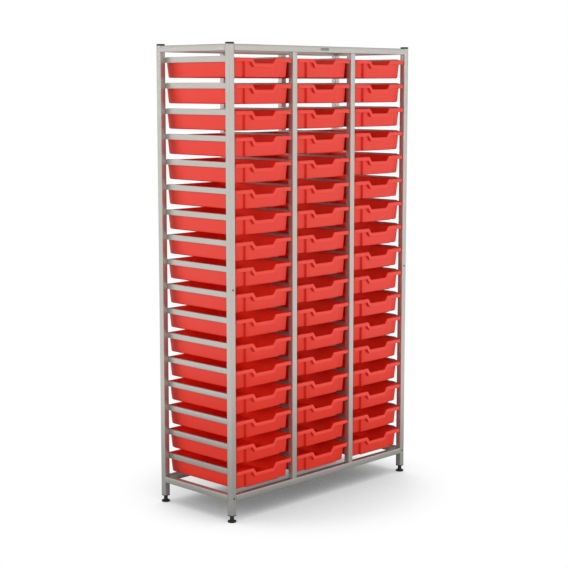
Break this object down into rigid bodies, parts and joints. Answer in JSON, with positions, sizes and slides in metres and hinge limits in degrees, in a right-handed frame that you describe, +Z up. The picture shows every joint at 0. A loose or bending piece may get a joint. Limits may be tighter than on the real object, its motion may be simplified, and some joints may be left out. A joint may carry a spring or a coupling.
{
  "type": "classroom tray storage unit",
  "caption": "Free-standing welded steel rack whose columns of runner channels carry shallow red pull-out trays with finger grips, for classroom storage",
  "frame": {"origin": "on the floor, under the middle of the unit's overall box", "axes": "+X to the right seen from the front, +Y to the rear, +Z up; the tray fronts face -Y"},
  "size_m": [1.0558, 0.4314, 1.854],
  "materials": {
    "painted_steel": "satin silver metallic powder coat",
    "red_plastic": "satin moulded polypropylene",
    "black_plastic": "fine moulded texture"
  },
  "bodies": {
    "frame": {"left_end_frame": "painted_steel", "centre_frame": "painted_steel", "right_end_frame": "painted_steel"},
    "foot_front_left": {"foot_front_left": "black_plastic"},
    "foot_front_right": {"foot_front_right": "black_plastic"},
    "foot_rear_left": {"foot_rear_left": "black_plastic"},
    "foot_rear_right": {"foot_rear_right": "black_plastic"},
    "tray_column1_row01": {"tray_column1_row01": "red_plastic"},
    "tray_column1_row02": {"tray_column1_row02": "red_plastic"},
    "tray_column1_row03": {"tray_column1_row03": "red_plastic"},
    "tray_column1_row04": {"tray_column1_row04": "red_plastic"},
    "tray_column1_row05": {"tray_column1_row05": "red_plastic"},
    "tray_column1_row06": {"tray_column1_row06": "red_plastic"},
    "tray_column1_row07": {"tray_column1_row07": "red_plastic"},
    "tray_column1_row08": {"tray_column1_row08": "red_plastic"},
    "tray_column1_row09": {"tray_column1_row09": "red_plastic"},
    "tray_column1_row10": {"tray_column1_row10": "red_plastic"},
    "tray_column1_row11": {"tray_column1_row11": "red_plastic"},
    "tray_column1_row12": {"tray_column1_row12": "red_plastic"},
    "tray_column1_row13": {"tray_column1_row13": "red_plastic"},
    "tray_column1_row14": {"tray_column1_row14": "red_plastic"},
    "tray_column1_row15": {"tray_column1_row15": "red_plastic"},
    "tray_column1_row16": {"tray_column1_row16": "red_plastic"},
    "tray_column1_row17": {"tray_column1_row17": "red_plastic"},
    "tray_column2_row01": {"tray_column2_row01": "red_plastic"},
    "tray_column2_row02": {"tray_column2_row02": "red_plastic"},
    "tray_column2_row03": {"tray_column2_row03": "red_plastic"},
    "tray_column2_row04": {"tray_column2_row04": "red_plastic"},
    "tray_column2_row05": {"tray_column2_row05": "red_plastic"},
    "tray_column2_row06": {"tray_column2_row06": "red_plastic"},
    "tray_column2_row07": {"tray_column2_row07": "red_plastic"},
    "tray_column2_row08": {"tray_column2_row08": "red_plastic"},
    "tray_column2_row09": {"tray_column2_row09": "red_plastic"},
    "tray_column2_row10": {"tray_column2_row10": "red_plastic"},
    "tray_column2_row11": {"tray_column2_row11": "red_plastic"},
    "tray_column2_row12": {"tray_column2_row12": "red_plastic"},
    "tray_column2_row13": {"tray_column2_row13": "red_plastic"},
    "tray_column2_row14": {"tray_column2_row14": "red_plastic"},
    "tray_column2_row15": {"tray_column2_row15": "red_plastic"},
    "tray_column2_row16": {"tray_column2_row16": "red_plastic"},
    "tray_column2_row17": {"tray_column2_row17": "red_plastic"},
    "tray_column3_row01": {"tray_column3_row01": "red_plastic"},
    "tray_column3_row02": {"tray_column3_row02": "red_plastic"},
    "tray_column3_row03": {"tray_column3_row03": "red_plastic"},
    "tray_column3_row04": {"tray_column3_row04": "red_plastic"},
    "tray_column3_row05": {"tray_column3_row05": "red_plastic"},
    "tray_column3_row06": {"tray_column3_row06": "red_plastic"},
    "tray_column3_row07": {"tray_column3_row07": "red_plastic"},
    "tray_column3_row08": {"tray_column3_row08": "red_plastic"},
    "tray_column3_row09": {"tray_column3_row09": "red_plastic"},
    "tray_column3_row10": {"tray_column3_row10": "red_plastic"},
    "tray_column3_row11": {"tray_column3_row11": "red_plastic"},
    "tray_column3_row12": {"tray_column3_row12": "red_plastic"},
    "tray_column3_row13": {"tray_column3_row13": "red_plastic"},
    "tray_column3_row14": {"tray_column3_row14": "red_plastic"},
    "tray_column3_row15": {"tray_column3_row15": "red_plastic"},
    "tray_column3_row16": {"tray_column3_row16": "red_plastic"},
    "tray_column3_row17": {"tray_column3_row17": "red_plastic"}
  },
  "joints": [
    {"name": "foot_front_left_turn", "type": "hinge", "parent": "frame", "child": "foot_front_left", "pos_m": [-0.5109, -0.19875, 0], "axis": [0, 0, 1], "continuous": true},
    {"name": "foot_front_right_turn", "type": "hinge", "parent": "frame", "child": "foot_front_right", "pos_m": [0.5109, -0.19875, 0], "axis": [0, 0, 1], "continuous": true},
    {"name": "foot_rear_left_turn", "type": "hinge", "parent": "frame", "child": "foot_rear_left", "pos_m": [-0.5109, 0.19625, 0], "axis": [0, 0, 1], "continuous": true},
    {"name": "foot_rear_right_turn", "type": "hinge", "parent": "frame", "child": "foot_rear_right", "pos_m": [0.5109, 0.19625, 0], "axis": [0, 0, 1], "continuous": true},
    {"name": "tray_column1_row01_slide", "type": "slide", "parent": "frame", "child": "tray_column1_row01", "axis": [0, -1, 0], "range_m": [0, 0.3]},
    {"name": "tray_column1_row02_slide", "type": "slide", "parent": "frame", "child": "tray_column1_row02", "axis": [0, -1, 0], "range_m": [0, 0.3]},
    {"name": "tray_column1_row03_slide", "type": "slide", "parent": "frame", "child": "tray_column1_row03", "axis": [0, -1, 0], "range_m": [0, 0.3]},
    {"name": "tray_column1_row04_slide", "type": "slide", "parent": "frame", "child": "tray_column1_row04", "axis": [0, -1, 0], "range_m": [0, 0.3]},
    {"name": "tray_column1_row05_slide", "type": "slide", "parent": "frame", "child": "tray_column1_row05", "axis": [0, -1, 0], "range_m": [0, 0.3]},
    {"name": "tray_column1_row06_slide", "type": "slide", "parent": "frame", "child": "tray_column1_row06", "axis": [0, -1, 0], "range_m": [0, 0.3]},
    {"name": "tray_column1_row07_slide", "type": "slide", "parent": "frame", "child": "tray_column1_row07", "axis": [0, -1, 0], "range_m": [0, 0.3]},
    {"name": "tray_column1_row08_slide", "type": "slide", "parent": "frame", "child": "tray_column1_row08", "axis": [0, -1, 0], "range_m": [0, 0.3]},
    {"name": "tray_column1_row09_slide", "type": "slide", "parent": "frame", "child": "tray_column1_row09", "axis": [0, -1, 0], "range_m": [0, 0.3]},
    {"name": "tray_column1_row10_slide", "type": "slide", "parent": "frame", "child": "tray_column1_row10", "axis": [0, -1, 0], "range_m": [0, 0.3]},
    {"name": "tray_column1_row11_slide", "type": "slide", "parent": "frame", "child": "tray_column1_row11", "axis": [0, -1, 0], "range_m": [0, 0.3]},
    {"name": "tray_column1_row12_slide", "type": "slide", "parent": "frame", "child": "tray_column1_row12", "axis": [0, -1, 0], "range_m": [0, 0.3]},
    {"name": "tray_column1_row13_slide", "type": "slide", "parent": "frame", "child": "tray_column1_row13", "axis": [0, -1, 0], "range_m": [0, 0.3]},
    {"name": "tray_column1_row14_slide", "type": "slide", "parent": "frame", "child": "tray_column1_row14", "axis": [0, -1, 0], "range_m": [0, 0.3]},
    {"name": "tray_column1_row15_slide", "type": "slide", "parent": "frame", "child": "tray_column1_row15", "axis": [0, -1, 0], "range_m": [0, 0.3]},
    {"name": "tray_column1_row16_slide", "type": "slide", "parent": "frame", "child": "tray_column1_row16", "axis": [0, -1, 0], "range_m": [0, 0.3]},
    {"name": "tray_column1_row17_slide", "type": "slide", "parent": "frame", "child": "tray_column1_row17", "axis": [0, -1, 0], "range_m": [0, 0.3]},
    {"name": "tray_column2_row01_slide", "type": "slide", "parent": "frame", "child": "tray_column2_row01", "axis": [0, -1, 0], "range_m": [0, 0.3]},
    {"name": "tray_column2_row02_slide", "type": "slide", "parent": "frame", "child": "tray_column2_row02", "axis": [0, -1, 0], "range_m": [0, 0.3]},
    {"name": "tray_column2_row03_slide", "type": "slide", "parent": "frame", "child": "tray_column2_row03", "axis": [0, -1, 0], "range_m": [0, 0.3]},
    {"name": "tray_column2_row04_slide", "type": "slide", "parent": "frame", "child": "tray_column2_row04", "axis": [0, -1, 0], "range_m": [0, 0.3]},
    {"name": "tray_column2_row05_slide", "type": "slide", "parent": "frame", "child": "tray_column2_row05", "axis": [0, -1, 0], "range_m": [0, 0.3]},
    {"name": "tray_column2_row06_slide", "type": "slide", "parent": "frame", "child": "tray_column2_row06", "axis": [0, -1, 0], "range_m": [0, 0.3]},
    {"name": "tray_column2_row07_slide", "type": "slide", "parent": "frame", "child": "tray_column2_row07", "axis": [0, -1, 0], "range_m": [0, 0.3]},
    {"name": "tray_column2_row08_slide", "type": "slide", "parent": "frame", "child": "tray_column2_row08", "axis": [0, -1, 0], "range_m": [0, 0.3]},
    {"name": "tray_column2_row09_slide", "type": "slide", "parent": "frame", "child": "tray_column2_row09", "axis": [0, -1, 0], "range_m": [0, 0.3]},
    {"name": "tray_column2_row10_slide", "type": "slide", "parent": "frame", "child": "tray_column2_row10", "axis": [0, -1, 0], "range_m": [0, 0.3]},
    {"name": "tray_column2_row11_slide", "type": "slide", "parent": "frame", "child": "tray_column2_row11", "axis": [0, -1, 0], "range_m": [0, 0.3]},
    {"name": "tray_column2_row12_slide", "type": "slide", "parent": "frame", "child": "tray_column2_row12", "axis": [0, -1, 0], "range_m": [0, 0.3]},
    {"name": "tray_column2_row13_slide", "type": "slide", "parent": "frame", "child": "tray_column2_row13", "axis": [0, -1, 0], "range_m": [0, 0.3]},
    {"name": "tray_column2_row14_slide", "type": "slide", "parent": "frame", "child": "tray_column2_row14", "axis": [0, -1, 0], "range_m": [0, 0.3]},
    {"name": "tray_column2_row15_slide", "type": "slide", "parent": "frame", "child": "tray_column2_row15", "axis": [0, -1, 0], "range_m": [0, 0.3]},
    {"name": "tray_column2_row16_slide", "type": "slide", "parent": "frame", "child": "tray_column2_row16", "axis": [0, -1, 0], "range_m": [0, 0.3]},
    {"name": "tray_column2_row17_slide", "type": "slide", "parent": "frame", "child": "tray_column2_row17", "axis": [0, -1, 0], "range_m": [0, 0.3]},
    {"name": "tray_column3_row01_slide", "type": "slide", "parent": "frame", "child": "tray_column3_row01", "axis": [0, -1, 0], "range_m": [0, 0.3]},
    {"name": "tray_column3_row02_slide", "type": "slide", "parent": "frame", "child": "tray_column3_row02", "axis": [0, -1, 0], "range_m": [0, 0.3]},
    {"name": "tray_column3_row03_slide", "type": "slide", "parent": "frame", "child": "tray_column3_row03", "axis": [0, -1, 0], "range_m": [0, 0.3]},
    {"name": "tray_column3_row04_slide", "type": "slide", "parent": "frame", "child": "tray_column3_row04", "axis": [0, -1, 0], "range_m": [0, 0.3]},
    {"name": "tray_column3_row05_slide", "type": "slide", "parent": "frame", "child": "tray_column3_row05", "axis": [0, -1, 0], "range_m": [0, 0.3]},
    {"name": "tray_column3_row06_slide", "type": "slide", "parent": "frame", "child": "tray_column3_row06", "axis": [0, -1, 0], "range_m": [0, 0.3]},
    {"name": "tray_column3_row07_slide", "type": "slide", "parent": "frame", "child": "tray_column3_row07", "axis": [0, -1, 0], "range_m": [0, 0.3]},
    {"name": "tray_column3_row08_slide", "type": "slide", "parent": "frame", "child": "tray_column3_row08", "axis": [0, -1, 0], "range_m": [0, 0.3]},
    {"name": "tray_column3_row09_slide", "type": "slide", "parent": "frame", "child": "tray_column3_row09", "axis": [0, -1, 0], "range_m": [0, 0.3]},
    {"name": "tray_column3_row10_slide", "type": "slide", "parent": "frame", "child": "tray_column3_row10", "axis": [0, -1, 0], "range_m": [0, 0.3]},
    {"name": "tray_column3_row11_slide", "type": "slide", "parent": "frame", "child": "tray_column3_row11", "axis": [0, -1, 0], "range_m": [0, 0.3]},
    {"name": "tray_column3_row12_slide", "type": "slide", "parent": "frame", "child": "tray_column3_row12", "axis": [0, -1, 0], "range_m": [0, 0.3]},
    {"name": "tray_column3_row13_slide", "type": "slide", "parent": "frame", "child": "tray_column3_row13", "axis": [0, -1, 0], "range_m": [0, 0.3]},
    {"name": "tray_column3_row14_slide", "type": "slide", "parent": "frame", "child": "tray_column3_row14", "axis": [0, -1, 0], "range_m": [0, 0.3]},
    {"name": "tray_column3_row15_slide", "type": "slide", "parent": "frame", "child": "tray_column3_row15", "axis": [0, -1, 0], "range_m": [0, 0.3]},
    {"name": "tray_column3_row16_slide", "type": "slide", "parent": "frame", "child": "tray_column3_row16", "axis": [0, -1, 0], "range_m": [0, 0.3]},
    {"name": "tray_column3_row17_slide", "type": "slide", "parent": "frame", "child": "tray_column3_row17", "axis": [0, -1, 0], "range_m": [0, 0.3]}
  ]
}
